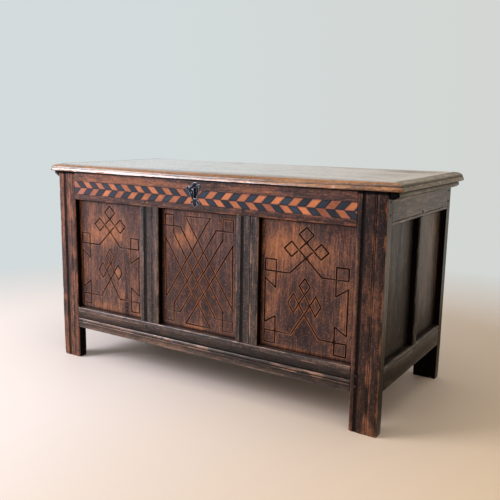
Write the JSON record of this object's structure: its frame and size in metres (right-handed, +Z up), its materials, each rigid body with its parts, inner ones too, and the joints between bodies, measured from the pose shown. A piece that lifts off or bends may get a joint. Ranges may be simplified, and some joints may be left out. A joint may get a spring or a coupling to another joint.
{
  "type": "coffer chest",
  "caption": "Joined oak coffer with panelled walls, an inlaid chevron band, an iron lock and a moulded lid plank on strap hinges.",
  "frame": {"origin": "middle of the whole footprint, lid and hinge barrels included, on the floor", "axes": "+X along the width to the right of someone who faces the front, -Y out of the front, +Z up"},
  "size_m": [1.199, 0.5404, 0.6466],
  "materials": {
    "oak_frame": "dark waxed oak, worn",
    "oak_panel": "waxed oak, red-brown where worn",
    "oak_inside": "dry unwaxed oak",
    "oak_lid": "polished oak, rubbed",
    "inlay_woods": "fruitwood and bog oak, waxed",
    "wrought_iron": "wrought iron, blackened"
  },
  "bodies": {
    "carcass": {"front_stile_left": "oak_frame", "front_stile_right": "oak_frame", "rear_stile_left": "oak_frame", "rear_stile_right": "oak_frame", "front_rail_top": "oak_frame", "front_rail_bottom": "oak_frame", "front_muntin_left": "oak_frame", "front_muntin_right": "oak_frame", "back_rail_top": "oak_frame", "back_rail_bottom": "oak_frame", "back_muntin_left": "oak_frame", "back_muntin_right": "oak_frame", "side_left_rail_top": "oak_frame", "side_left_rail_bottom": "oak_frame", "side_left_muntin": "oak_frame", "side_right_rail_top": "oak_frame", "side_right_rail_bottom": "oak_frame", "side_right_muntin": "oak_frame", "front_panel_left": "oak_panel", "front_panel_middle": "oak_panel", "front_panel_right": "oak_panel", "back_panel_left": "oak_panel", "back_panel_middle": "oak_panel", "back_panel_right": "oak_panel", "side_left_panel_front": "oak_panel", "side_left_panel_rear": "oak_panel", "side_right_panel_front": "oak_panel", "side_right_panel_rear": "oak_panel", "floor_board_1": "oak_inside", "floor_board_2": "oak_inside", "floor_board_3": "oak_inside", "floor_board_4": "oak_inside", "floor_board_5": "oak_inside", "inlay_left": "inlay_woods", "inlay_right": "inlay_woods", "hinge_back_leaf_left": "wrought_iron", "hinge_back_leaf_right": "wrought_iron", "hinge_pin_left": "wrought_iron", "hinge_pin_right": "wrought_iron", "lock_plate": "wrought_iron", "lock_spring": "wrought_iron", "escutcheon": "wrought_iron"},
    "lid": {"lid_plank": "oak_lid", "lid_cleat_left": "oak_lid", "lid_cleat_right": "oak_lid", "hinge_strap_left": "wrought_iron", "hinge_strap_right": "wrought_iron", "lid_staple": "wrought_iron"},
    "lock_bolt": {"lock_bolt": "wrought_iron"}
  },
  "joints": [
    {"name": "lid_hinge", "type": "hinge", "parent": "carcass", "child": "lid", "pos_m": [0, 0.26465, 0.6181], "axis": [-1, 0, 0], "range_deg": [0, 105]},
    {"name": "bolt_slide", "type": "slide", "parent": "carcass", "child": "lock_bolt", "axis": [1, 0, 0], "range_m": [0, 0.012]}
  ]
}
